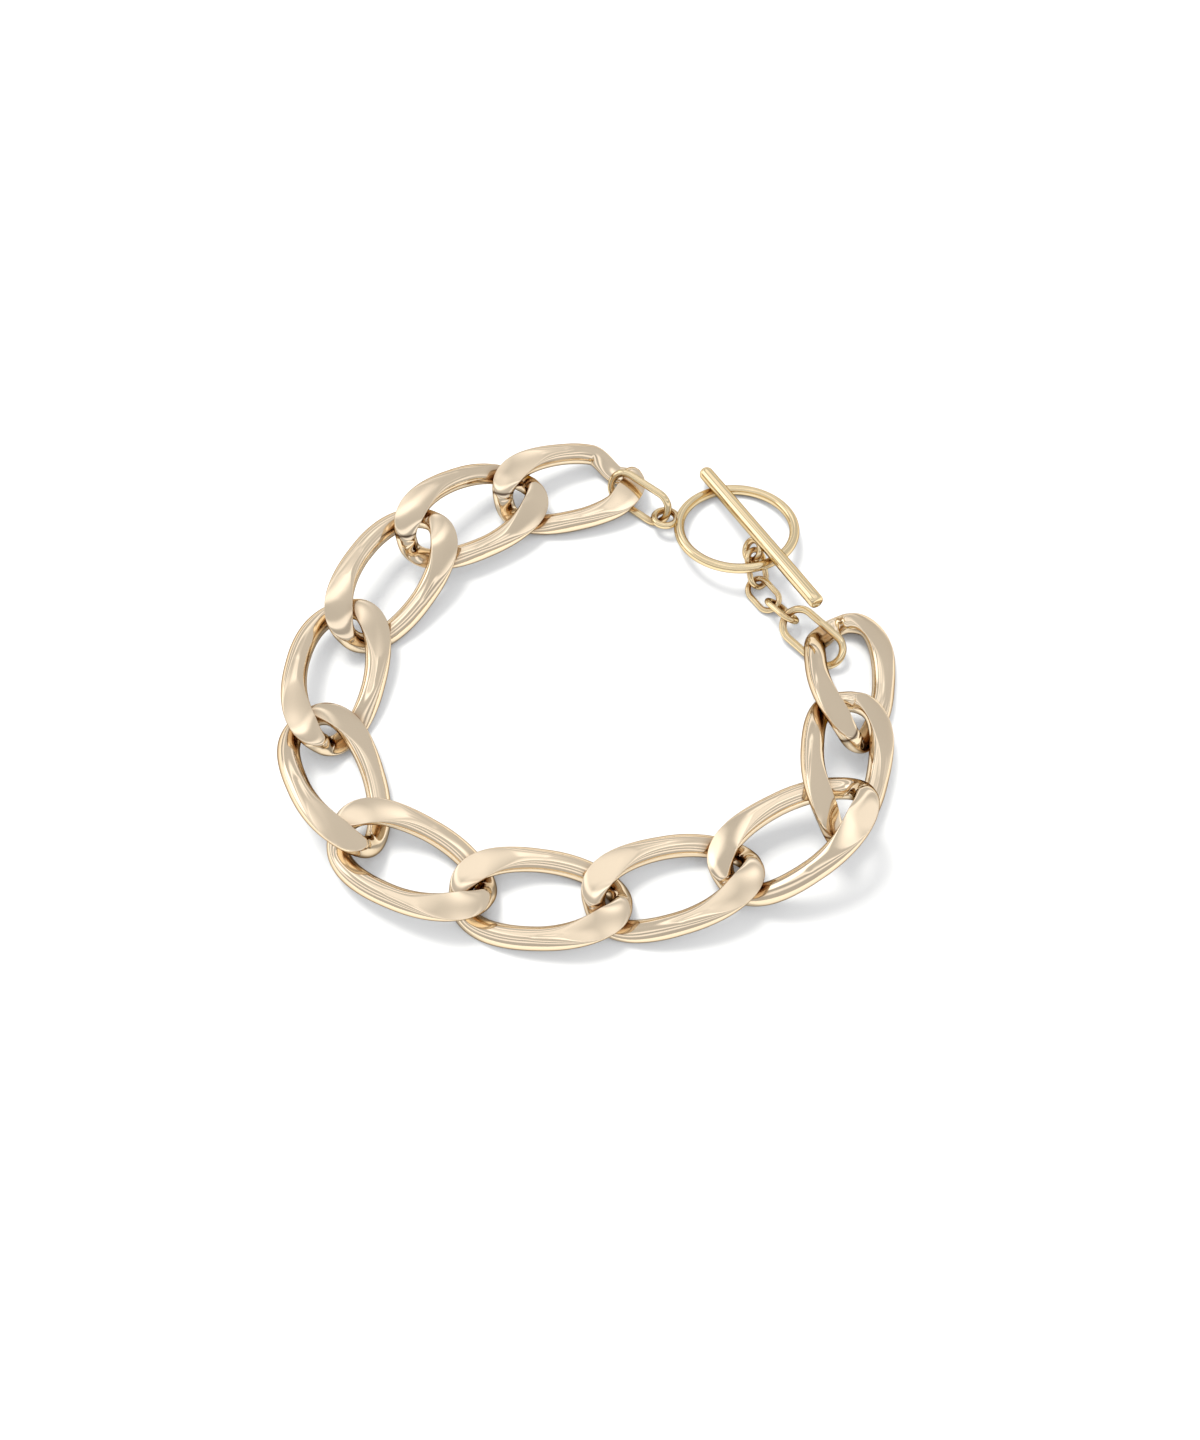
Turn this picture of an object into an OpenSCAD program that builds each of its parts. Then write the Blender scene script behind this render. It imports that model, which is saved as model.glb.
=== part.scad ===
// Link bracelet with a toggle clasp, fastened and lying on a surface in a closed loop.
// Millimetres, +Z up. The origin is the middle of the loop's outline, on that surface.
// The curb links run counter-clockwise from the toggle ring round to the second oval.

/* [Curb links] */
// Length of one link over its tips
link_l = 20; // [19.5:0.5:24]
// Width of one link over its sides
link_w = 11.7; // [11.5:0.1:14]
// Width of the wire along a link's sides
side_w = 2.7; // [2.3:0.1:2.9]
// Width of the wire where it turns round a link's tips
tip_w = 2.45; // [2.1:0.05:2.5]
// Height of the wire
wire_h = 2.4; // [2:0.05:2.5]
// Height left free between the middles of two wires that cross, past the wire itself
cross_gap = 0.4; // [0.3:0.05:0.8]
// Thickness of a link over its ground flats
flat_t = 3.5; // [3.2:0.1:4]
// How far the outer edge of a flat stands out past the plain wire
flat_out = 0.3; // [0:0.05:0.5]
// How far the inner edge of a flat stands in past the plain wire
flat_in = 0.5; // [0:0.05:0.6]
// Depth of the saddle that a neighbour's tip rests in
saddle_d = 0.75; // [0.5:0.05:0.9]

/* [Toggle ring] */
// Diameter of the toggle ring over its wire
ring_od = 15.3; // [14:0.1:18]
// Diameter of the toggle ring's wire
ring_wire = 1.25; // [1:0.05:1.6]
// Diameter over the small eye that is soldered to the toggle ring
ring_eye_od = 3.6; // [3.4:0.1:4]

/* [Toggle bar] */
// Length of the bar over its rounded ends
bar_l = 26.5; // [24:0.5:30]
// Diameter of the bar
bar_d = 1.75; // [1.4:0.05:2.2]
// Diameter over the small eye that is soldered under the bar
bar_eye_od = 3.3; // [3.2:0.1:3.6]

/* [Small links] */
// Diameter of the wire of the soldered eyes
eye_wire = 0.85; // [0.7:0.05:1]
// Length of the two ovals that join the clasp to the curb links, over their wire
oval_l = 9.1; // [8.8:0.1:9.6]
// Width of the two ovals over their wire
oval_w = 4.8; // [4.6:0.1:5.4]
// Diameter of the ovals' wire
oval_wire = 0.9; // [0.7:0.05:1]
// Length of a small chain link over its wire
chain_l = 5.2; // [5:0.1:5.6]
// Width of a small chain link over its wire
chain_w = 3.3; // [3.1:0.1:3.6]
// Diameter of a small chain link's wire
chain_wire = 0.7; // [0.5:0.05:0.75]

/* [Hidden] */
// Stations round a link and sides of its wire
stations = 44;
sides = 12;
// Roundness of a link's plan: 2 is an ellipse, more is squarer
plan_round = 2.15;
// Where a pinched corner begins and where it is done, as shares of the half length
pinch_from = 0.4;
pinch_by = 0.85;
// How far a pinched tip is drawn in, as a share of its pinch
tip_draw = 0.2;
// How much sooner the wire climbs at a tip than along a side
tip_haste = 0.12;

// Lay of the curb links, one row each, from the toggle ring round to the second oval.
// heading: way the link points, in degrees
// bank: how far its inner side is raised, in degrees
// slope: how far its leading tip is raised, in degrees
// lift: height of its lowest point, as a share of the wire's height
// toward: way to the middle of the next link, in degrees
// slack: how far the joint is closed up from taut, as a share of the tip's width
// back, front: how far the low corner at the trailing and at the leading tip is pinched in
LAY = [
    // heading, bank, slope, lift, toward, slack, back, front
    [-165, -11, 5, 0, -157, 0.7, 0.6, 0],
    [-147.5, -24, 9.5, 0.545, -135, 0.88, 0, 0],
    [-122, -24, -7, 0.04, -114, 0.54, 0, 0],
    [-98, -18, -1, 0.05, -85, 0.62, 0, 0],
    [-67, -24, 2, 0, -47, 0.8, 0, 0],
    [-25, -6, -3, 0.1, -14, 0.22, 0, 0],
    [-3, 0, 0, 0, 7, 0.28, 0, 0],
    [14.5, -2, 4, 0.01, 20, 0.5, 0, 0],
    [27, -9, 20, 0.2, 57, 1.84, 0, 0],
    [80, 30, -6, 0.49, 84, 1.16, 0, 0],
    [87, 24, -11, 0, 0, 0, 0, 0.2]
];
HEADING = 0;
BANK = 1;
SLOPE = 2;
LIFT = 3;
TOWARD = 4;
SLACK = 5;
BACK = 6;
FRONT = 7;
last = len(LAY) - 1;

function two_digits(n) = str(n < 10 ? "0" : "", n);
function link_name(i) = str("link_", two_digits(i + 1));

pale_gold = [0.86, 0.77, 0.62];
yellow_gold = [0.85, 0.72, 0.50];

function unit(angle) = [cos(angle), sin(angle)];
function angle_of(v) = atan2(v.y, v.x);
function flat(p) = [p.x, p.y];
function ease(x) = let (c = min(1, max(0, x))) c * c * (3 - 2 * c);
function signed_power(x, e) = sign(x) * pow(abs(x), e);

// Banks, slopes and heads a point: the three turns that lay a link
function turned(p, bank, slope, heading) =
    let (
        y1 = p.y * cos(bank) - p.z * sin(bank),
        z1 = p.y * sin(bank) + p.z * cos(bank),
        x2 = p.x * cos(slope) - z1 * sin(slope),
        z2 = p.x * sin(slope) + z1 * cos(slope)
    )
    [x2 * cos(heading) - y1 * sin(heading), x2 * sin(heading) + y1 * cos(heading), z2];

// The wire's middle line round a link. Angle 0 is the leading tip, 90 the inner side.
// At the trailing tip the inner side is high, and at the leading tip the outer side is.
rise = (wire_h + cross_gap) / 2;
mid_l = (link_l - tip_w) / 2;
mid_w = (link_w - side_w) / 2;
function height_share(t) =
    let (q = (t % 180) / 90, s = q < 1 ? q : 2 - q)
    (q < 1 ? -1 : 1) * sin(180 * (s + tip_haste * sin(180 * s)));
function wire_middle(t, back, front) =
    let (
        along = signed_power(cos(t), 2 / plan_round),
        aside = signed_power(sin(t), 2 / plan_round),
        share = height_share(t),
        pinch = along > 0 ? front : back,
        near_tip = ease((abs(along) - pinch_from) / (pinch_by - pinch_from)),
        cut = share > 0 ? 0 : pinch * near_tip,
        draw = tip_draw * pinch * near_tip
    )
    [mid_l * along * (1 - draw), mid_w * aside * (1 - cut), rise * share];

// One section of the wire: an ellipse that is wider where it is high, scooped where it
// is low, and cut off by the two flats
nearby = 0.05;
function wire_section(t, back, front) =
    let (
        middle = wire_middle(t, back, front),
        along = wire_middle(t + nearby, back, front) - wire_middle(t + 360 - nearby, back, front),
        plan = flat(along) / norm(flat(along)),
        outward = [plan.y, -plan.x, 0],
        tangent = along / norm(along),
        upright = cross(outward, tangent),
        up = upright.z < 0 ? -upright : upright,
        share = height_share(t),
        high = pow(max(0, share), 1.2),
        scoop = saddle_d * ease((-share - 0.45) / 0.4),
        half = (side_w + (tip_w - side_w) * pow(cos(t), 2)) / 2
    )
    [for (j = [0 : sides - 1])
        let (
            a = 360 * (j + 0.5) / sides,
            reach = half + high * (cos(a) > 0 ? flat_out : flat_in),
            height = wire_h / 2 - (sin(a) > 0 ? scoop : 0),
            p = middle + reach * cos(a) * outward + height * sin(a) * up
        )
        [p.x, p.y, min(flat_t / 2, max(-flat_t / 2, p.z))]];
function link_points(back, front) =
    [for (i = [0 : stations - 1]) each wire_section(360 * i / stations, back, front)];
LINK_FACES = [
    for (i = [0 : stations - 1], j = [0 : sides - 1])
        let (
            a = i * sides,
            b = ((i + 1) % stations) * sides,
            k = (j + 1) % sides
        )
        each [[a + j, a + k, b + k], [a + j, b + k, b + j]]
];

// The clasp is laid out from the toggle ring's middle
clasp_at = [16.65, 25.2];
ring_mid = (ring_od - ring_wire) / 2;
// How far the ring's middle is raised, because its near side leans on the small chain
ring_rise = 1.58;
ring_slope = -asin(ring_rise / ring_mid);
ring_z = ring_wire / 2 + ring_rise;
RING_AT = [clasp_at.x, clasp_at.y, ring_z];
eye_heading = 168;
ring_eye_mid = (ring_eye_od - eye_wire) / 2;
ring_eye_far = ring_mid + ring_eye_mid + ring_wire / 3;
function on_ring(p) = RING_AT + turned([p.x, p.y, 0], ring_slope, 0, 0);
RING_EYE = on_ring(ring_eye_far * unit(eye_heading));

// The connector oval: its near end stands in the ring's eye, its far end in the first link
oval_heading = 144;
oval_slope = 4;
oval_turn = -58;
oval_reach = (oval_l - oval_wire) / 2;
// How far its near end stands off the middle of that eye
OVAL_SEAT = [0.14, 0.27, 0.23];
OVAL_AT = RING_EYE + OVAL_SEAT + turned([oval_reach, 0, 0], 0, oval_slope, oval_heading);
START_HOOK = flat(OVAL_AT) + oval_reach * unit(oval_heading);

// The middle of the ring's near side, from which the bar and the small chain are laid out
NEAR_SIDE = [clasp_at.x, clasp_at.y - ring_mid];

// The bar lies on the ring, which is higher on the near side. Its eye hangs to one side.
bar_heading = -62;
bar_slope = 12;
bar_roll = 38;
BAR_SHIFT = [2.3, 4.575];
bar_rest = 0.24;
bar_z = ring_z + (ring_mid - BAR_SHIFT.y) * tan(-ring_slope)
    + (ring_wire + bar_d) / 2 / cos(ring_slope) + bar_rest;
BAR_AT = [NEAR_SIDE.x + BAR_SHIFT.x, NEAR_SIDE.y + BAR_SHIFT.y, bar_z];
bar_eye_drop = bar_d / 2 + (bar_eye_od - eye_wire) / 2 - eye_wire / 4;
bar_eye_along = 0.7;
BAR_EYE = BAR_AT + turned([bar_eye_along, 0, -bar_eye_drop], -bar_roll, bar_slope, bar_heading);

// The second oval: its far end stands in the last curb link
end_heading = -45;
end_slope = -4;
end_turn = 32;
END_SHIFT = [8.35, -8.215, 1.9];
END_AT = [NEAR_SIDE.x + END_SHIFT.x, NEAR_SIDE.y + END_SHIFT.y, END_SHIFT.z];
END_HOOK = flat(END_AT) + oval_reach * cos(end_slope) * unit(end_heading);

// Lay of the small chain's links, one row each, from the bar's eye to the second oval.
// x, y: middle of the link, from the middle of the toggle ring's near side
// z: height of the link's middle
// heading, slope: way its leading end points and how far that end is raised, in degrees
// turn: how far its left side is raised, in degrees
CHAIN_LAY = [
    // x, y, z, heading, slope, turn
    [2.2, 1.325, 2.05, -77, -34, -32],
    [2.95, -1.725, 1, -54, 0, 26],
    [4.95, -4.425, 1.65, -55, 16, -47]
];

// The curb chain between its two hooks. Headings fan about fan_mid until the ends meet the clasp.
taut = link_l - 2 * tip_w;
// Where the ovals stand in the first and the last link: along it and toward its inner side
FIRST_HOLD = [-4.98, 0.52];
LAST_HOLD = [3.05, 1.15];
fan_mid = -60;
function fanned(angle, fan) = fan_mid + fan * (angle - fan_mid);
function joint_step(i) = taut - LAY[i][SLACK] * tip_w;
function chain_middle(i, fan) =
    i == 0 ? [0, 0]
    : chain_middle(i - 1, fan) + joint_step(i - 1) * unit(fanned(LAY[i - 1][TOWARD], fan));
function chain_start(fan) =
    FIRST_HOLD.x * unit(fanned(LAY[0][HEADING], fan))
    + FIRST_HOLD.y * unit(fanned(LAY[0][HEADING], fan) + 90);
function chain_end(fan) =
    chain_middle(last, fan)
    + LAST_HOLD.x * unit(fanned(LAY[last][HEADING], fan))
    + LAST_HOLD.y * unit(fanned(LAY[last][HEADING], fan) + 90);
function chain_span(fan) = norm(chain_end(fan) - chain_start(fan));
CLASP_SPAN = END_HOOK - START_HOOK;
// A wider fan closes the loop, so the span falls as the fan grows
function fan_between(low, high, turns) =
    let (mid = (low + high) / 2)
    turns == 0 ? mid
    : chain_span(mid) > norm(CLASP_SPAN) ? fan_between(mid, high, turns - 1)
    : fan_between(low, mid, turns - 1);
fan = fan_between(0.7, 1.3, 30);
swing = angle_of(CLASP_SPAN) - angle_of(chain_end(fan) - chain_start(fan));
function swung(v) = [v.x * cos(swing) - v.y * sin(swing), v.x * sin(swing) + v.y * cos(swing)];
function link_plan(i) = START_HOOK + swung(chain_middle(i, fan) - chain_start(fan));
function link_turned(i) = [
    for (p = link_points(LAY[i][BACK], LAY[i][FRONT]))
        turned(p, LAY[i][BANK], LAY[i][SLOPE], fanned(LAY[i][HEADING], fan) + swing)
];
function lowest(points) = min([for (p = points) p.z]);
function link_placed(i) =
    let (points = link_turned(i), at = link_plan(i), z = LAY[i][LIFT] * wire_h - lowest(points))
    [for (p = points) p + [at.x, at.y, z]];
LINKS = [for (i = [0 : last]) link_placed(i)];

// The loop's outline is the curb links' own, and its middle is the origin
xs = [for (points = LINKS, p = points) p.x];
ys = [for (points = LINKS, p = points) p.y];
HOME = [-(min(xs) + max(xs)) / 2, -(min(ys) + max(ys)) / 2, 0];

module curb_link(i) {
    color(pale_gold)
        translate(HOME)
            polyhedron(points = LINKS[i], faces = LINK_FACES, convexity = 6);
}

// A round ring of wire in the XY plane
module wire_ring(od, wire) {
    rotate_extrude($fn = 64)
        translate([(od - wire) / 2, 0])
            circle(d = wire, $fn = 20);
}

// An oval ring of wire in the XY plane, its length along X
module wire_oval(length, width, wire) {
    bend = (width - wire) / 2;
    straight = length - width;
    for (end = [-1, 1]) {
        translate([end * straight / 2, 0, 0])
            rotate([0, 0, end > 0 ? -90 : 90])
                rotate_extrude(angle = 180, $fn = 48)
                    translate([bend, 0])
                        circle(d = wire, $fn = 20);
        translate([-straight / 2, end * bend, 0])
            rotate([0, 90, 0])
                cylinder(d = wire, h = straight, $fn = 20);
    }
}

module ring_connector() {
    color(yellow_gold)
        translate(HOME + OVAL_AT)
            rotate([0, 0, oval_heading])
                rotate([0, -oval_slope, 0])
                    rotate([oval_turn, 0, 0])
                        wire_oval(oval_l, oval_w, oval_wire);
}

module toggle_ring() {
    color(yellow_gold)
        translate(HOME + RING_AT)
            rotate([ring_slope, 0, 0]) {
                wire_ring(ring_od, ring_wire);
                rotate([0, 0, eye_heading])
                    translate([ring_eye_far, 0, 0])
                        wire_ring(ring_eye_od, eye_wire);
            }
}

module toggle_bar() {
    color(yellow_gold)
        translate(HOME + BAR_AT)
            rotate([0, 0, bar_heading])
                rotate([0, -bar_slope, 0]) {
                    rotate([0, 90, 0])
                        cylinder(d = bar_d, h = bar_l - bar_d, center = true, $fn = 32);
                    for (end = [-1, 1])
                        translate([end * (bar_l - bar_d) / 2, 0, 0])
                            sphere(d = bar_d, $fn = 32);
                    rotate([-bar_roll, 0, 0])
                        translate([bar_eye_along, 0, -bar_eye_drop])
                            rotate([90, 0, 0])
                                wire_ring(bar_eye_od, eye_wire);
                }
}

module end_oval() {
    color(yellow_gold)
        translate(HOME + END_AT)
            rotate([0, 0, end_heading])
                rotate([0, -end_slope, 0])
                    rotate([end_turn, 0, 0])
                        wire_oval(oval_l, oval_w, oval_wire);
}

module bar_chain(i) {
    lay = CHAIN_LAY[i];
    color(yellow_gold)
        translate(HOME + [NEAR_SIDE.x + lay[0], NEAR_SIDE.y + lay[1], lay[2]])
            rotate([0, 0, lay[3]])
                rotate([0, -lay[4], 0])
                    rotate([lay[5], 0, 0])
                        wire_oval(chain_l, chain_w, chain_wire);
}

for (i = [0 : last])
    curb_link(i);
ring_connector();
toggle_ring();
toggle_bar();
bar_chain(0);  // bar_chain_1
bar_chain(1);  // bar_chain_2
bar_chain(2);  // bar_chain_3
end_oval();
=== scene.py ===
# %% [markdown]
# # A curb-link bracelet with a toggle clasp
#
# Eleven heavy curb links lie in a closed loop, and a bar passed through a ring fastens them.
# The CAD model already says where every piece lies. This script gives each piece the smooth,
# polished skin that facets can't have, then lights it as a jeweller's photograph would be lit.

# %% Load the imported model
import math

import bmesh
import bpy
import numpy as np
from mathutils import Matrix, Vector
from mathutils.bvhtree import BVHTree


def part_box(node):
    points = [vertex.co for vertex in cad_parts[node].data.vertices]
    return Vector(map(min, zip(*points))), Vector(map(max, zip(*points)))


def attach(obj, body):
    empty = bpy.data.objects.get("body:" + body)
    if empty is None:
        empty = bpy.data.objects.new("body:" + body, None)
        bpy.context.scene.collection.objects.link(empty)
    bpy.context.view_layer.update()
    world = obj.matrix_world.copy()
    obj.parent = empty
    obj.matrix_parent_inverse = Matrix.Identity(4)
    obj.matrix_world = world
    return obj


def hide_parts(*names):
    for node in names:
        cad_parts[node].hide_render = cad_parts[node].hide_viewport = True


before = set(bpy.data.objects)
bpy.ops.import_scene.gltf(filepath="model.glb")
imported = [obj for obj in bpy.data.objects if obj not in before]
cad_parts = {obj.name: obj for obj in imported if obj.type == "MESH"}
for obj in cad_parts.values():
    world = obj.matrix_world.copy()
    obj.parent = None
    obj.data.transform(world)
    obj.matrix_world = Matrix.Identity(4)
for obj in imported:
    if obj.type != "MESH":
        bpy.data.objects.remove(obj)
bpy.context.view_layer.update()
MM = 0.001

# %% [markdown]
# ## Where the links lie
#
# Placing eleven links by eye would leave them near the CAD links but not in them. Each link's
# lay is instead repeated from the CAD source: the way it points, how far it leans, and how far
# it has closed up on the next. The whole chain then fans out until its two ends meet the clasp.

# %% Sizes of a curb link, in millimetres
LINK_LONG, LINK_WIDE = 20.0, 11.7
SIDE_WIDE, TIP_WIDE, WIRE_HIGH = 2.7, 2.45, 2.4
CROSS_GAP, FLAT_THICK = 0.4, 3.5
FLAT_OUT, FLAT_IN, SADDLE = 0.3, 0.5, 0.75
PLAN_ROUND, TIP_HASTE = 2.15, 0.12
PINCH_FROM, PINCH_BY, TIP_DRAW = 0.4, 0.85, 0.2
MID_LONG, MID_WIDE = (LINK_LONG - TIP_WIDE) / 2, (LINK_WIDE - SIDE_WIDE) / 2
RISE = (WIRE_HIGH + CROSS_GAP) / 2

# One row a link: heading, bank, slope, lift, toward, slack, back pinch, front pinch
LAY = [
    (-165, -11, 5, 0, -157, 0.7, 0.6, 0),
    (-147.5, -24, 9.5, 0.545, -135, 0.88, 0, 0),
    (-122, -24, -7, 0.04, -114, 0.54, 0, 0),
    (-98, -18, -1, 0.05, -85, 0.62, 0, 0),
    (-67, -24, 2, 0, -47, 0.8, 0, 0),
    (-25, -6, -3, 0.1, -14, 0.22, 0, 0),
    (-3, 0, 0, 0, 7, 0.28, 0, 0),
    (14.5, -2, 4, 0.01, 20, 0.5, 0, 0),
    (27, -9, 20, 0.2, 57, 1.84, 0, 0),
    (80, 30, -6, 0.49, 84, 1.16, 0, 0),
    (87, 24, -11, 0, 0, 0, 0, 0.2),
]
# How deep each polished link is hollowed where it dips under its neighbour: back end, front end
SADDLES = [
    (0.75, 0.55), (0.58, 0.6), (0, 0), (0, 0.68), (0, 0), (0, 0.15),
    (0, 0), (0.3, 0.3), (0, 0.1), (0, 0.35), (0.75, 0.75),
]
print("curb links:", len(LAY))


# %% [markdown]
# ## The shape of one link
#
# A curb link starts as an oval of round wire and is twisted until it lies flat against its
# neighbours, then its high ends are ground to broad, leaf-shaped flats. A curve with a bevel
# could make the wire, but not the grinding. So the surface is worked out point by point: a
# middle line that rises and dips, and round it a section that the two flats cut off.
#
# A flat that is truly flat mirrors one spot of the room and looks like cut card. Polishing by
# hand bows it, so each flat here is domed a little, leans outward and falls away at both ends.
# Its edge is rounded too, which is where the thin bright line round a real flat comes from.


# %% The middle line of the wire and the sections round it
def ease(x):
    x = np.clip(x, 0, 1)
    return x * x * (3 - 2 * x)


def signed_power(x, e):
    return np.sign(x) * np.abs(x) ** e


def height_share(t):
    """How high the wire is at angle t, from -1 where it passes under to 1 where it is ground"""
    q = np.mod(t, np.pi) / (np.pi / 2)
    s = np.where(q < 1, q, 2 - q)
    return np.where(q < 1, -1, 1) * np.sin(np.pi * (s + TIP_HASTE * np.sin(np.pi * s)))


def wire_middle(t, back, front):
    along = signed_power(np.cos(t), 2 / PLAN_ROUND)
    aside = signed_power(np.sin(t), 2 / PLAN_ROUND)
    share = height_share(t)
    near_tip = ease((np.abs(along) - PINCH_FROM) / (PINCH_BY - PINCH_FROM))
    pinch = np.where(along > 0, front, back) * near_tip
    cut = np.where(share > 0, 0, pinch)
    return np.stack(
        [MID_LONG * along * (1 - TIP_DRAW * pinch), MID_WIDE * aside * (1 - cut), RISE * share], -1
    )


def soft_limit(z, limit, soft):
    """z, held below limit, with the corner rounded over the length soft"""
    h = np.clip(0.5 + 0.5 * (limit - z) / soft, 0, 1)
    return limit * (1 - h) + z * h - soft * h * (1 - h)


# How far a polished flat falls toward the side and the nose, domes across, and leans outward
FLAT_FALL, FLAT_NOSE, FLAT_DOME, FLAT_TILT = 0.34, 0.68, 0.08, 0.16
# How round its edge is toward the hole, and how much rounder it gets halfway along a side
EDGE_IN, EDGE_SIDE = 0.3, 1.6


def link_sections(back, front, stations, sides, trim=1.0, soft=0.0, saddles=(SADDLE, SADDLE)):
    """Points of a link's skin, one row of sides for each station round it"""
    t = np.radians(np.arange(stations) * 360 / stations)
    a = np.radians((np.arange(sides) + 0.5) * 360 / sides)
    middle, step = wire_middle(t, back, front), 0.001
    along = wire_middle(t + step, back, front) - wire_middle(t - step, back, front)
    plan = along * [1, 1, 0]
    plan /= np.linalg.norm(plan, axis=1, keepdims=True)
    outward = np.cross(plan, [0, 0, 1.0])
    up = np.cross(outward, along / np.linalg.norm(along, axis=1, keepdims=True))
    up *= np.sign(up[:, 2:3])
    share = height_share(t)
    high = np.maximum(0, share) ** 1.2
    onset, full = (0.1, 0.9) if soft else (0.45, 0.85)
    deepest = np.where(t < np.pi / 2, saddles[1], saddles[0])
    scoop = deepest * ease((-share - onset) / (full - onset))
    half = (SIDE_WIDE + (TIP_WIDE - SIDE_WIDE) * np.cos(t) ** 2) / 2
    wide = half[:, None] + high[:, None] * np.where(np.cos(a) > 0, FLAT_OUT, FLAT_IN)
    tall = WIRE_HIGH / 2 - np.where(np.sin(a) > 0, scoop[:, None], 0)
    p = (
        middle[:, None]
        + (trim * wide * np.cos(a))[..., None] * outward[:, None]
        + (trim * tall * np.sin(a))[..., None] * up[:, None]
    )
    if soft:
        from_side = np.abs(np.mod(t, np.pi) / (np.pi / 2) - 1)
        bow = np.where(from_side > 0.5, FLAT_NOSE, FLAT_FALL) * (2 * from_side - 1) ** 2
        lean = FLAT_TILT * (0.5 + 0.5 * np.cos(a))
        limit = FLAT_THICK / 2 - bow[:, None] - FLAT_DOME * np.cos(a) ** 2 - lean
        across = np.where(np.cos(a) > 0, 1, EDGE_IN)
        corner = soft * (across + EDGE_SIDE * ease(1 - 2 * from_side)[:, None])
        for face in (1, -1):
            p[..., 2] = face * soft_limit(face * p[..., 2], limit, corner)
    p[..., 2] = np.clip(p[..., 2], -FLAT_THICK / 2, FLAT_THICK / 2)
    return p


# The facets of the CAD source, and the smooth skin laid over them
FACETED = dict(stations=44, sides=12)
SMOOTH = dict(stations=300, sides=72, trim=0.98, soft=0.14)
print("one smooth link:", link_sections(0, 0, **SMOOTH).shape[:2], "points")


# %% [markdown]
# ## Laying the links out
#
# The three turns that lay a link are its bank, its slope and its heading, in that order.
# Written as one matrix, the same turn serves the links, the ovals and the bar.


# %% Turning, and the clasp's own lay
def lay_turn(heading, slope=0.0, bank=0.0):
    turns = ((heading, "Z"), (-slope, "Y"), (bank, "X"))
    first, second, third = (Matrix.Rotation(math.radians(v), 3, axis) for v, axis in turns)
    return np.array(first @ second @ third)


def unit(angle):
    return np.array([math.cos(math.radians(angle)), math.sin(math.radians(angle))])


RING_OD, RING_WIRE, RING_EYE_OD, EYE_WIRE = 15.3, 1.25, 3.6, 0.85
BAR_LONG, BAR_THICK, BAR_EYE_OD = 26.5, 1.75, 3.3
OVAL_LONG, OVAL_WIDE, OVAL_WIRE = 9.1, 4.8, 0.9
CHAIN_LONG, CHAIN_WIDE, CHAIN_WIRE = 5.2, 3.3, 0.7
RING_MID, RING_RISE, EYE_HEADING = (RING_OD - RING_WIRE) / 2, 1.58, 168
RING_LEAN = math.asin(RING_RISE / RING_MID)
RING_SLOPE = -math.degrees(RING_LEAN)
RING_EYE_FAR = RING_MID + (RING_EYE_OD - EYE_WIRE) / 2 + RING_WIRE / 3
RING_AT = np.array([16.65, 25.2, RING_WIRE / 2 + RING_RISE])
NEAR_SIDE = RING_AT * [1, 1, 0] - [0, RING_MID, 0]
RING_TURN = lay_turn(0, 0, RING_SLOPE)
RING_EYE = RING_AT + RING_TURN @ [*(RING_EYE_FAR * unit(EYE_HEADING)), 0]
OVAL_REACH = (OVAL_LONG - OVAL_WIRE) / 2
OVAL_HEADING, OVAL_SLOPE, OVAL_BANK, OVAL_PLAY = 144, 4, -58, [0.14, 0.27, 0.23]
OVAL_TURN = lay_turn(OVAL_HEADING, OVAL_SLOPE, OVAL_BANK)
OVAL_AT = RING_EYE + OVAL_PLAY + lay_turn(OVAL_HEADING, OVAL_SLOPE) @ [OVAL_REACH, 0, 0]
START_HOOK = OVAL_AT[:2] + OVAL_REACH * unit(OVAL_HEADING)
END_HEADING, END_SLOPE, END_BANK = -45, -4, 32
END_TURN = lay_turn(END_HEADING, END_SLOPE, END_BANK)
END_AT = NEAR_SIDE + [8.35, -8.215, 1.9]
END_HOOK = END_AT[:2] + OVAL_REACH * math.cos(math.radians(END_SLOPE)) * unit(END_HEADING)
BAR_HEADING, BAR_SLOPE, BAR_ROLL = -62, 12, 38
BAR_TURN = lay_turn(BAR_HEADING, BAR_SLOPE)
BAR_SHIFT, BAR_REST = [2.3, 4.575], 0.24
BAR_OVER = (RING_WIRE + BAR_THICK) / 2 / math.cos(RING_LEAN) + BAR_REST
BAR_Z = RING_AT[2] + (RING_MID - BAR_SHIFT[1]) * math.tan(RING_LEAN) + BAR_OVER
BAR_AT = NEAR_SIDE + [*BAR_SHIFT, BAR_Z]
BAR_EYE_DROP = BAR_THICK / 2 + (BAR_EYE_OD - EYE_WIRE) / 2 - EYE_WIRE / 4
BAR_EYE_ALONG, BAR_EYE_TURN = 0.7, BAR_TURN @ lay_turn(0, 0, -BAR_ROLL)
BAR_EYE = BAR_AT + BAR_EYE_TURN @ [BAR_EYE_ALONG, 0, -BAR_EYE_DROP]
# One row a link of the small chain: its middle from the ring's near side, heading, slope, turn
CHAIN_LAY = [
    (2.2, 1.325, 2.05, -77, -34, -32),
    (2.95, -1.725, 1, -54, 0, 26),
    (4.95, -4.425, 1.65, -55, 16, -47),
]
print("ring's eye, mm:", RING_EYE.round(2), "bar's eye, mm:", BAR_EYE.round(2))

# %% [markdown]
# ### Closing the loop
#
# Eleven headings read from a photograph never add up exactly, and the last link would miss the
# clasp. The CAD source fans all the headings by one factor and swings the whole chain by one
# angle until both ends meet the clasp. The same search, which halves its range at each step,
# runs here, so that the skins lie where the CAD links are.

# %% Fan the chain out until it closes on the clasp
FAN_MID, HALVINGS = -60, 31
TAUT = LINK_LONG - 2 * TIP_WIDE
FIRST_HOLD, LAST_HOLD = np.array([-4.98, 0.52]), np.array([3.05, 1.15])


def fanned(angle, fan):
    return FAN_MID + fan * (angle - FAN_MID)


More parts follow.
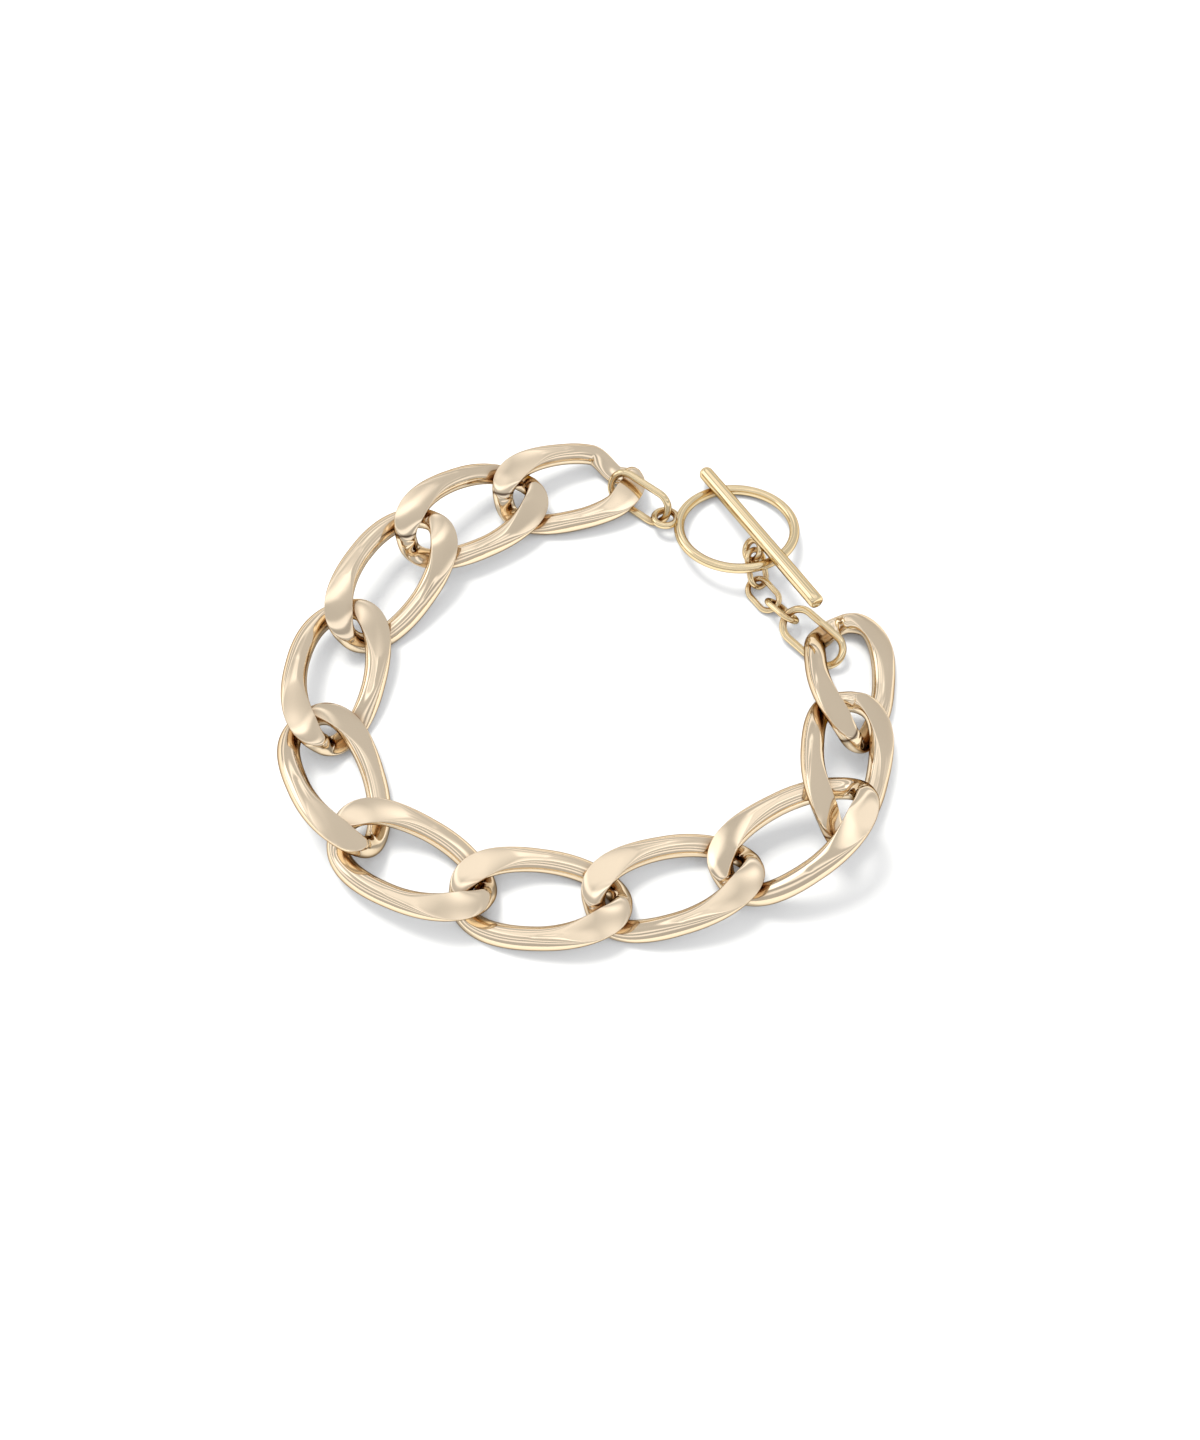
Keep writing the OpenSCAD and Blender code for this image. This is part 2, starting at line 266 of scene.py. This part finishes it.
def hold(row, place, fan):
    heading = fanned(LAY[row][0], fan)
    return place[0] * unit(heading) + place[1] * unit(heading + 90)


def chain_middles(fan):
    at = [np.zeros(2)]
    for row in LAY[:-1]:
        at.append(at[-1] + (TAUT - row[5] * TIP_WIDE) * unit(fanned(row[4], fan)))
    return at


def chain_reach(fan):
    return chain_middles(fan)[-1] + hold(-1, LAST_HOLD, fan) - hold(0, FIRST_HOLD, fan)


low, high = 0.7, 1.3
span = END_HOOK - START_HOOK
for _ in range(HALVINGS):
    fan = (low + high) / 2
    too_long = np.linalg.norm(chain_reach(fan)) > np.linalg.norm(span)
    low, high = (fan, high) if too_long else (low, fan)
reach = chain_reach(fan)
swing = math.degrees(math.atan2(span[1], span[0]) - math.atan2(reach[1], reach[0]))
print("fan", round(fan, 4), "swing", round(swing, 3))


# %% [markdown]
# ### Placing each link
#
# A link's facets are laid first, because their lowest point tells how high it rests. The smooth
# skin takes the same place, and is drawn in a hair where it would pass the facets' own box.
# Comparing the boxes with those of the CAD nodes shows at once whether the two agree.


# %% Place every link, and find the middle of the loop
def placed(i, **kind):
    heading, bank, slope, lift, _, _, back, front = LAY[i]
    turn = lay_turn(fanned(heading, fan) + swing, slope, bank)
    coarse = link_sections(back, front, **FACETED) @ turn.T
    plan = START_HOOK + lay_turn(swing)[:2, :2] @ (chain_middles(fan)[i] - hold(0, FIRST_HOLD, fan))
    move = np.array([*plan, lift * WIRE_HIGH - coarse[..., 2].min()])
    coarse = coarse + move
    if not kind:
        return coarse
    smooth = link_sections(back, front, saddles=SADDLES[i], **kind) @ turn.T + move
    low, high = coarse.min((0, 1)), coarse.max((0, 1))
    middle = (low + high) / 2
    spill = np.maximum(np.abs(smooth - middle).max((0, 1)) / (high - middle - 0.001), 1)
    return middle + (smooth - middle) / spill


coarse_links = [placed(i) for i in range(len(LAY))]
every = np.concatenate([c.reshape(-1, 3) for c in coarse_links])
HOME = np.array([*(-(every.min(0) + every.max(0)) / 2)[:2], 0])
worst = 0.0
for i, c in enumerate(coarse_links):
    node_box = np.array(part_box(f"link_{i + 1:02d}")) / MM
    worst = max(worst, np.abs(node_box - [(c + HOME).min((0, 1)), (c + HOME).max((0, 1))]).max())
print("home", HOME.round(3), "worst miss against the CAD links, mm:", round(float(worst), 4))


# %% [markdown]
# ## Building the meshes
#
# Rows of points become quads, and smooth shading does the rest. The trim keeps the smooth skin
# inside the facets' own box, because a circle drawn round a polygon's corners would stand proud.
#
# The order of a face's corners says which side is out. Added up over a closed skin, the corners
# give its volume, and a volume below zero means a skin turned inside out, so it is turned back.
#
# Four links also show the cut where their wire was closed. It is a line and not a shape, so it
# goes into a vertex attribute called seam, which the material reads as a dark stroke.


# %% A closed skin from rows of points
pieces = {}


def skin(name, rows, closed=True):
    stations, sides = rows.shape[:2]
    turns = stations if closed else stations - 1
    i, j = np.meshgrid(np.arange(turns), np.arange(sides), indexing="ij")
    i2, j2 = (i + 1) % stations, (j + 1) % sides
    quads = np.stack([i * sides + j, i * sides + j2, i2 * sides + j2, i2 * sides + j], -1)
    quads = quads.reshape(-1, 4)
    faces = quads.tolist()
    if not closed:
        faces += [list(range(sides))[::-1], list(range((stations - 1) * sides, stations * sides))]
    points = (rows.reshape(-1, 3) + HOME) * MM
    corners = points[quads]
    across = np.cross(corners[:, 1], corners[:, 2]) + np.cross(corners[:, 2], corners[:, 3])
    if (corners[:, 0] * across).sum() < 0:
        faces = [face[::-1] for face in faces]
    mesh = bpy.data.meshes.new(name)
    mesh.from_pydata(points.tolist(), [], faces)
    mesh.validate()
    mesh.shade_smooth()
    piece = bpy.data.objects.new(name, mesh)
    bpy.context.scene.collection.objects.link(piece)
    return piece


SEAM_WIDE, SEAMS = 1.5, {"link_01": 353.0, "link_02": 353.0, "link_10": 173.0, "link_11": 173.0}
angle = np.arange(SMOOTH["stations"]) * 360 / SMOOTH["stations"]
for i in range(len(LAY)):
    name = f"link_{i + 1:02d}"
    pieces[name] = skin(f"{name}_polished", placed(i, **SMOOTH))
    line = np.exp(-(((angle - SEAMS.get(name, -99.0)) / SEAM_WIDE) ** 2))
    store = pieces[name].data.attributes.new("seam", "FLOAT", "POINT")
    store.data.foreach_set("value", np.repeat(line, SMOOTH["sides"]).astype(np.float32))
    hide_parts(name)
print("smooth links:", len(pieces), "with", len(pieces["link_01"].data.polygons), "faces each")


# %% [markdown]
# ## The clasp and the small links
#
# The ring, the ovals and the two eyes are bent from drawn wire. A bevelled curve would make the
# ovals, and can swell along its length, but its section keeps one proportion. The toggle ring's
# doesn't: it is round and a little heavier beside its eye, and slightly flat across from it. So
# one function lays a tube round any closed path, with a width and a height of its own.


# %% Tubes round a closed path
def tube(path, wide, tall, up, sides=28):
    """Rows of points round a closed path: wide across it, tall along up"""
    along = np.roll(path, -1, 0) - np.roll(path, 1, 0)
    along /= np.linalg.norm(along, axis=1, keepdims=True)
    across = np.cross(along, up)
    across /= np.linalg.norm(across, axis=1, keepdims=True)
    rise = np.cross(across, along)
    a = np.radians(np.arange(sides) * 360 / sides)
    wide, tall = np.broadcast_to(wide, len(path)), np.broadcast_to(tall, len(path))
    return (
        path[:, None]
        + (wide[:, None] * np.cos(a))[..., None] * across[:, None]
        + (tall[:, None] * np.sin(a))[..., None] * rise[:, None]
    )


def oval_path(long, wide, wire, steps=96):
    """Middle line of an oval link: two straights and two half turns, evenly stepped"""
    bend, straight = (wide - wire) / 2, long - wide
    arc = math.pi * bend
    out = []
    for s in np.arange(steps) * (2 * (straight + arc) / steps):
        flip = 1 if s < straight + arc else -1
        s = s % (straight + arc)
        if s < arc:
            x, y = straight / 2 + bend * math.sin(s / bend), -bend * math.cos(s / bend)
        else:
            x, y = straight / 2 - (s - arc), bend
        out.append((flip * x, flip * y, 0))
    return np.array(out)


def circle_path(od, wire, steps=96):
    a = np.radians(np.arange(steps) * 360 / steps)
    return (od - wire) / 2 * np.stack([np.cos(a), np.sin(a), 0 * a], -1)


def add_piece(name, rows, closed=True):
    pieces[name] = skin(f"{name}_polished", rows, closed)
    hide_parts(name)


def oval(name, size, at, turn):
    path = oval_path(*size)
    rows = tube(path, size[2] / 2, size[2] / 2, [0, 0, 1.0])
    add_piece(name, rows @ turn.T + at)


oval("ring_connector", (OVAL_LONG, OVAL_WIDE, OVAL_WIRE), OVAL_AT, OVAL_TURN)
oval("end_oval", (OVAL_LONG, OVAL_WIDE, OVAL_WIRE), END_AT, END_TURN)
for k, (x, y, z, heading, slope, turn) in enumerate(CHAIN_LAY):
    at = NEAR_SIDE + [x, y, z]
    size = (CHAIN_LONG, CHAIN_WIDE, CHAIN_WIRE)
    oval(f"bar_chain_{k + 1}", size, at, lay_turn(heading, slope, turn))
print("small links:", [n for n in pieces if "link" not in n])


# %% [markdown]
# ### The ring with its eye
#
# The small eye that the connector hooks into is soldered to the ring, so both are one piece. A
# Boolean would weld them, but it leaves ragged shading along the weld. Solder this small shows
# as a crease, so the two skins share one mesh and simply cross.


# %% Join two skins into one soldered piece
def joined(name, *parts):
    mesh = bpy.data.meshes.new(f"{name}_polished")
    shape = bmesh.new()
    for part in parts:
        shape.from_mesh(part.data)
        bpy.data.objects.remove(part)
    shape.to_mesh(mesh)
    shape.free()
    mesh.shade_smooth()
    piece = bpy.data.objects.new(f"{name}_polished", mesh)
    bpy.context.scene.collection.objects.link(piece)
    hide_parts(name)
    pieces[name] = piece


ring_path = circle_path(RING_OD, RING_WIRE, 160)
ring_angle = np.degrees(np.arctan2(ring_path[:, 1], ring_path[:, 0]))
beside_eye = 0.5 + 0.5 * np.cos(np.radians(ring_angle - EYE_HEADING))
# Half the ring's width and height across from its eye, and what each gains beside it
RING_HALF, RING_GAIN = (0.6, 0.58), (0.02, 0.04)
ring_wide, ring_tall = (h + g * beside_eye for h, g in zip(RING_HALF, RING_GAIN))
ring_rows = tube(ring_path, ring_wide, ring_tall, [0, 0, 1.0])
eye_rows = tube(circle_path(RING_EYE_OD, EYE_WIRE), EYE_WIRE / 2, EYE_WIRE / 2, [0, 0, 1.0])
eye_rows = eye_rows @ lay_turn(EYE_HEADING).T + [*(RING_EYE_FAR * unit(EYE_HEADING)), 0]
joined(
    "toggle_ring",
    skin("ring", ring_rows @ RING_TURN.T + RING_AT),
    skin("ring_eye", eye_rows @ RING_TURN.T + RING_AT),
)


# %% [markdown]
# ### The bar
#
# A toggle bar is a rod, here with one domed end and one cut flat with its edge broken. Blender's
# Screw modifier could turn it from an outline. Turning the outline in code gives rows of points
# like those of the tubes, so that one function closes every skin.


# %% The bar, turned on a lathe in code
def bar_profile():
    """Half outline of the bar, from one end to the other: distance along it, and radius"""
    r, half = BAR_THICK / 2, BAR_LONG / 2
    rising = np.linspace(0.06, math.pi / 2, 14)
    dome = [(-half + r * (1 - math.cos(v)), r * math.sin(v)) for v in rising]
    broken_edge = [(0.35, 0), (0.16, 0.07), (0.06, 0.2), (0.02, 0.4)]
    flat_end = [(half - short, r - low) for short, low in broken_edge]
    body = [(x, r) for x in np.linspace(-half + r + 0.4, half - 1.2, 40)]
    return dome + body + flat_end + [(half, 0.02)]


BAR_SIDES = 40
a = np.radians(np.arange(BAR_SIDES) * 360 / BAR_SIDES)
bar_rows = np.array([[(x, r * math.cos(v), r * math.sin(v)) for v in a] for x, r in bar_profile()])
bar_eye_rows = tube(circle_path(BAR_EYE_OD, EYE_WIRE), EYE_WIRE / 2, EYE_WIRE / 2, [0, 0, 1.0])
bar_eye_rows = bar_eye_rows @ lay_turn(0, bank=90).T
joined(
    "toggle_bar",
    skin("bar", bar_rows @ BAR_TURN.T + BAR_AT, closed=False),
    skin("bar_eye", bar_eye_rows @ BAR_EYE_TURN.T + BAR_EYE),
)
print("clasp pieces:", [n for n in pieces if "toggle" in n])

# %% [markdown]
# ## How close each spot is to its neighbours
#
# Where two links close on each other, gold reflected in gold turns amber and the crevice falls
# into shade. Each vertex stores how close the nearest other piece is, so that the material can
# paint that amber reflection and shade into its colour there, and roughen its gloss a little.

# %% Measure the crevices
NEAR, FAR = 0.12 * MM, 1.5 * MM
trees = {
    n: BVHTree.FromPolygons([v.co for v in p.data.vertices], [f.vertices for f in p.data.polygons])
    for n, p in pieces.items()
}
boxes = {n: (np.array(p.bound_box).min(0), np.array(p.bound_box).max(0)) for n, p in pieces.items()}
for n, p in pieces.items():
    low, high = boxes[n][0] - FAR, boxes[n][1] + FAR
    others = [
        m for m in pieces if m != n and (boxes[m][0] < high).all() and (boxes[m][1] > low).all()
    ]
    crevice = np.zeros(len(p.data.vertices))
    for m in others:
        for k, v in enumerate(p.data.vertices):
            found = trees[m].find_nearest(v.co, FAR)
            if found[3] is not None:
                crevice[k] = max(crevice[k], 1 - (found[3] - NEAR) / (FAR - NEAR))
    store = p.data.attributes.new("crevice", "FLOAT", "POINT")
    store.data.foreach_set("value", np.clip(crevice, 0, 1).astype(np.float32))
print("pieces with crevices measured:", len(pieces))


# %% [markdown]
# ## Shader maths
#
# Nodes joined by hand are hard to read. This class wraps one socket, so that an expression
# such as `1 - mask` adds the Math nodes it needs.


# %% A socket that can be reckoned with
class Flow:
    def __init__(self, tree, socket=None):
        self.tree, self.socket = tree, socket

    def node(self, kind, settings=None, values=None, out=0):
        """A node of a kind: its settings first, then the values or links of its sockets"""
        made = self.tree.nodes.new(kind)
        for key, value in (settings or {}).items():
            if key == "stops":
                ramp = made.color_ramp
                while len(ramp.elements) < len(value):
                    ramp.elements.new(0.5)
                for element, (place, colour) in zip(ramp.elements, value):
                    element.position, element.color = place, colour
            else:
                setattr(made, key, value)
        for key, value in (values or {}).items():
            if isinstance(value, Flow):
                self.tree.links.new(value.socket, made.inputs[key])
            else:
                made.inputs[key].default_value = value
        return Flow(self.tree, made.outputs[out] if made.outputs else None)

    def math(self, operation, first, second=0.0):
        return self.node("ShaderNodeMath", {"operation": operation}, {0: first, 1: second})

    def __add__(self, other):
        return self.math("ADD", self, other)

    __radd__ = __add__

    def __sub__(self, other):
        return self.math("SUBTRACT", self, other)

    def __rsub__(self, other):
        return self.math("SUBTRACT", other, self)

    def __mul__(self, other):
        return self.math("MULTIPLY", self, other)

    __rmul__ = __mul__

    def __pow__(self, other):
        return self.math("POWER", self, other)

    def limited(self, low=0.0, high=1.0):
        return self.math("MINIMUM", self.math("MAXIMUM", self, low), high)

    def mix(self, first, second):
        """Colour first where self is 0, second where it is 1"""
        return self.node(
            "ShaderNodeMix", {"data_type": "RGBA"}, {"Factor": self, 6: first, 7: second}, out=2
        )


# %% [markdown]
# ## Two golds
#
# Plating is never one flat colour. The metal here has a slow drift in tint, a haze of finer
# polish marks that breaks up its gloss, and a painted amber shade in the crevices, which stands
# for gold reflected in gold and the shade there. The links are paler than the clasp, as two
# trades' plating often is, so one recipe is called twice.


# %% The plating
SEAM_DARK = (0.08, 0.035, 0.012, 1)


def plating(name, gold, crevice_shade_colour, edge, rough):
    material = bpy.data.materials.new(name)
    material.use_nodes = True
    material.node_tree.nodes.clear()
    f = Flow(material.node_tree)
    place = f.node("ShaderNodeTexCoord", out=3)
    drift = f.node("ShaderNodeTexNoise", {}, {"Vector": place, "Scale": 90.0, "Detail": 2.0})
    haze = f.node("ShaderNodeTexNoise", {}, {"Vector": place, "Scale": 1400.0, "Detail": 4.0})
    crevice_shade_mask = f.node("ShaderNodeAttribute", {"attribute_name": "crevice"}, out=2)
    deeper = tuple(0.9 * c for c in gold[:3]) + (1,)
    tint = ((drift - 0.5) * 1.6 + 0.5).limited().mix(gold, deeper)
    # Painted shade and painted gold-on-gold reflection: the colour turns amber where another piece
    # is near
    colour = ((crevice_shade_mask**2.2) * 0.95).mix(tint, crevice_shade_colour)
    seam_line = f.node("ShaderNodeAttribute", {"attribute_name": "seam"}, out=2)
    colour = seam_line.mix(colour, SEAM_DARK)
    bump = f.node("ShaderNodeBump", {}, {"Strength": 0.02, "Distance": 0.00005, "Height": haze})
    shader = f.node(
        "ShaderNodeBsdfPrincipled",
        {},
        {
            "Base Color": colour,
            "Metallic": 1.0,
            "Specular Tint": edge,
            "Roughness": rough + 0.06 * haze + 0.1 * crevice_shade_mask,
            "Normal": bump,
        },
    )
    f.node("ShaderNodeOutputMaterial", {}, {"Surface": shader})
    return material


EDGE_TINT, SHEEN_ROUGH = (0.16, 0.08, 0.03, 1), 0.06
# The third colour of each gold is the painted amber shade of its crevices
link_gold = plating(
    "pale_champagne_gold", (0.895, 0.735, 0.525, 1), (0.36, 0.17, 0.045, 1), EDGE_TINT, SHEEN_ROUGH
)
clasp_gold = plating(
    "warm_yellow_gold", (0.885, 0.71, 0.43, 1), (0.36, 0.17, 0.04, 1), EDGE_TINT, SHEEN_ROUGH
)
for n, p in pieces.items():
    is_curb = n.startswith("link")
    p.data.materials.append(link_gold if is_curb else clasp_gold)
    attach(p, "root")
print("materials:", [m.name for m in bpy.data.materials])

# %% [markdown]
# ## The floor, the light and the camera
#
# The photograph was taken on white, from in front and high above. Polished metal shows only
# what is round it, so most of the work is in the room that it mirrors.

# %% [markdown]
# ### The paper
#
# White paper in a studio glows with light bounced from everywhere, and a little emission stands
# for that. Where the links close over the paper, the bounced light is gold or is cut off. The
# Ambient Occlusion node tells how open each spot is, and the paper turns brown where it isn't.

# %% A white floor
floor_mesh = bpy.data.meshes.new("white_sweep")
FLOOR, FLOOR_DROP, PAPER_GLOW, SHUT_IN = 1.2, 0.00002, 0.31, 7 * MM
corners = [(-FLOOR, -FLOOR, 0), (FLOOR, -FLOOR, 0), (FLOOR, FLOOR, 0), (-FLOOR, FLOOR, 0)]
floor_mesh.from_pydata(corners, [], [(0, 1, 2, 3)])
floor = bpy.data.objects.new("white_sweep", floor_mesh)
bpy.context.scene.collection.objects.link(floor)
floor.location.z = -FLOOR_DROP
paper = bpy.data.materials.new("white_paper")
paper.use_nodes = True
sheet = paper.node_tree.nodes["Principled BSDF"]
sheet.inputs["Roughness"].default_value = 0.9
sheet.inputs["Specular IOR Level"].default_value = 0.0
sheet.inputs["Emission Strength"].default_value = PAPER_GLOW
glow = Flow(paper.node_tree)
open_sky = glow.node("ShaderNodeAmbientOcclusion", {"samples": 8}, {"Distance": SHUT_IN}, out=1)
opened = ((open_sky - 0.1) * 4.2).limited()
# The paper's glow is painted bounce light, and both the glow and the paper's colour turn brown
# where the links close over it: painted shade and painted gold bounce
SHUT_GLOW, OPEN_GLOW = (0.16, 0.1, 0.05, 1), (1.0, 1.0, 1.0, 1)
SHUT_PAPER, OPEN_PAPER = (0.25, 0.17, 0.09, 1), (0.71, 0.7, 0.66, 1)
lit = opened.mix(SHUT_GLOW, OPEN_GLOW)
toned = opened.mix(SHUT_PAPER, OPEN_PAPER)
paper.node_tree.links.new(lit.socket, sheet.inputs["Emission Color"])
paper.node_tree.links.new(toned.socket, sheet.inputs["Base Color"])
floor_mesh.materials.append(paper)
print("paper:", 2 * FLOOR, "m square")

# %% [markdown]
# ### The room
#
# A plain white room makes plain metal. Product photographers hang strips of white and gaps of
# grey round the table, so that every curve shows a run of light and dark lines. One color ramp
# does the same here: the sky's brightness goes up and down with its distance from the glare,
# which is where the floor's own mirror image points. The quiet side holds the bands off the
# links that lean right, and a few soft patches light the flats that face them.
#
# Looked at directly, as it is from low angles, the room should be a plain white wall and not a
# set of stripes. Light Path tells rays from the camera apart from the rest, and they see white.

# %% The sky round the table
world = bpy.data.worlds.new("studio")
bpy.context.scene.world = world
world.use_nodes = True
world.node_tree.nodes.clear()
w = Flow(world.node_tree)
way = w.node("ShaderNodeTexCoord", out=0)


def lobe(direction, sharp):
    """1 toward a direction of the sky, falling off faster the sharper it is"""
    d = Vector(direction).normalized()
    dot = w.node("ShaderNodeVectorMath", {"operation": "DOT_PRODUCT"}, {0: way, 1: d}, out=1)
    return dot.limited() ** sharp


def panel(direction, edge, rise):
    """1 inside a patch of the sky, and 0 outside it, with a soft edge between"""
    return ((lobe(direction, 1.0) - edge) * rise).limited()


# Brightness of the sky against how far it is from the glare: 1 is the mirror of the floor
BANDS = [
    (0.0, 0.6), (0.1, 0.62), (0.15, 1.25), (0.34, 1.2), (0.38, 0.5), (0.5, 0.55), (0.54, 1.35),
    (0.62, 1.25), (0.66, 0.68), (0.81, 0.7), (0.84, 1.4), (0.87, 1.4), (0.9, 0.7), (1.0, 0.76),
]
glare = Vector((0.0, 0.45, 0.9)).normalized()
nearness = w.node("ShaderNodeVectorMath", {"operation": "DOT_PRODUCT"}, {0: way, 1: glare}, out=1)
stops = [(place, (value, value, value, 1)) for place, value in BANDS]
bands = w.node("ShaderNodeValToRGB", {"stops": stops}, {"Fac": nearness})
# A panel's direction, how near to it a ray must point, how fast it fills in, and its light
PANELS = [
    ((-0.85, 0.33, 0.41), 0.94, 30.0, 0.95),
    ((-0.27, 0.43, 0.86), 0.951, 29.0, 0.46),
    ((-0.12, 0.06, 0.99), 0.972, 60.0, 0.36),
]
# A spot's direction, how sharp it is, and its light
SPOTS = [((0.16, 0.58, 0.8), 90.0, 0.75), ((0.25, 0.16, 0.95), 60.0, 0.5)]
QUIET_WAY, QUIET_LIGHT, WALL_LIGHT = (0.7, 0.55, 0.42), 0.74, 1.1
quiet_side = panel(QUIET_WAY, 0.76, 6.0)
bright = bands + quiet_side * (QUIET_LIGHT - bands)
for direction, edge, rise, light in PANELS:
    bright = bright + light * panel(direction, edge, rise)
for direction, sharp, light in SPOTS:
    bright = bright + light * lobe(direction, sharp)
seen = w.node("ShaderNodeLightPath", out=0)
backdrop = bright + seen * (WALL_LIGHT - bright)
sky = w.node("ShaderNodeBackground", {}, {"Color": (0.935, 0.95, 1.005, 1), "Strength": backdrop})
w.node("ShaderNodeOutputWorld", {}, {"Surface": sky})
print("sky bands:", len(BANDS), "panels and spots:", len(PANELS) + len(SPOTS))

# %% [markdown]
# ### The lamp
#
# One softbox from the upper left throws the soft shadow to the lower right. It is hidden from
# reflections, because the sky already holds what the metal should mirror, and a square of
# light on every link would give the lamp away.

# %% The lamp
KEY_AT, KEY_SIZE, KEY_POWER = Vector((-0.27, 0.3, 0.9)), 0.33, 7.6
lamp = bpy.data.lights.new("key_softbox", "AREA")
lamp.shape, lamp.size, lamp.size_y = "RECTANGLE", KEY_SIZE, KEY_SIZE
lamp.energy = KEY_POWER
key = bpy.data.objects.new("key_softbox", lamp)
bpy.context.scene.collection.objects.link(key)
key.location = KEY_AT
key.visible_glossy = False
key.rotation_euler = (-KEY_AT).to_track_quat("-Z", "Y").to_euler()
print("lamp height, mm:", round(KEY_AT.z / MM))

# %% [markdown]
# ### The camera
#
# The camera looks down at the table at about 62 degrees. Its place and its lens were fitted
# together, so that each link falls where the photograph shows it and the near side of the loop
# looks as much bigger than the far side. A longer lens from farther off would flatten that.

# %% The camera
PHOTO_HIGH, FOCAL_PX, SENSOR = 1440, 1601, 36
CAMERA_FROM_HOME, LOOK_DOWN = [0, -85.83, 164.23], 62.41
camera_data = bpy.data.cameras.new("camera")
camera_data.sensor_fit = "VERTICAL"
camera_data.sensor_height = SENSOR
camera_data.lens = SENSOR * FOCAL_PX / PHOTO_HIGH
camera_data.clip_start = 0.01
camera = bpy.data.objects.new("camera", camera_data)
bpy.context.scene.collection.objects.link(camera)
camera.location = Vector((HOME + CAMERA_FROM_HOME) * MM)
camera.rotation_euler = (math.radians(90 - LOOK_DOWN), 0, 0)
bpy.context.scene.camera = camera
bpy.context.scene.view_settings.view_transform = "Standard"
bpy.context.scene.cycles.caustics_reflective = False
print("lens", round(camera_data.lens, 2), "mm")
